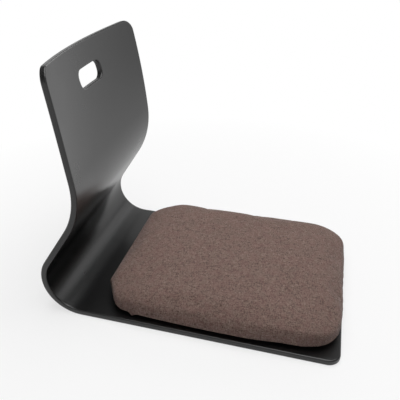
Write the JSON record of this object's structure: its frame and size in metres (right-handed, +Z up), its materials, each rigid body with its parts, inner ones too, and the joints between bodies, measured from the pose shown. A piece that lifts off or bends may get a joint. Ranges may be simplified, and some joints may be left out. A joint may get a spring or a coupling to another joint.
{
  "type": "floor chair",
  "caption": "Legless floor chair: an S-bent moulded plywood shell with a grip hole in its back and a lift-off fabric seat cushion.",
  "frame": {"origin": "on the floor, under the middle of the shell's overall width and depth", "axes": "+Z up; the sitter faces -Y; +X is the sitter's left hand; the part is symmetric about the plane x=0 but for the zip's slider"},
  "size_m": [0.365, 0.54, 0.4625],
  "materials": {
    "lacquered_veneer": "black satin lacquer",
    "core_wood": "beech ply, edges lacquered black",
    "hook_tape": "woven hook tape",
    "loop_tape": "woven loop tape",
    "foam": "open cell foam",
    "cover_weave": "coarse linen-look weave",
    "base_cloth": "plain backing cloth",
    "zip_tape": "woven tape",
    "zip_coil": "nylon coil",
    "zip_metal": "enamelled zinc"
  },
  "bodies": {
    "shell": {"face_veneer": "lacquered_veneer", "core_ply_1": "core_wood", "core_ply_2": "core_wood", "core_ply_3": "core_wood", "core_ply_4": "core_wood", "core_ply_5": "core_wood", "core_ply_6": "core_wood", "core_ply_7": "core_wood", "back_veneer": "lacquered_veneer", "seat_hook_patches": "hook_tape"},
    "cushion": {"cushion_loop_patches": "loop_tape", "foam_core": "foam", "cover_top": "cover_weave", "cover_base": "base_cloth", "zip_tape_upper": "zip_tape", "zip_tape_lower": "zip_tape", "zip_coil_upper": "zip_coil", "zip_coil_lower": "zip_coil", "zip_end_stops": "zip_coil"},
    "zip_slider": {"zip_slider": "zip_metal"},
    "zip_pull": {"zip_pull": "zip_metal"}
  },
  "joints": [
    {"name": "cushion_lift", "type": "slide", "parent": "shell", "child": "cushion", "axis": [0, 0, 1], "range_m": [0, 0.12]},
    {"name": "zip_slide", "type": "slide", "parent": "cushion", "child": "zip_slider", "axis": [-1, 0, 0], "range_m": [0, 0.213]},
    {"name": "pull_swing", "type": "hinge", "parent": "zip_slider", "child": "zip_pull", "pos_m": [0.1065, 0.16527, 0.03226], "axis": [0, 0, -1], "range_deg": [0, 170]}
  ]
}
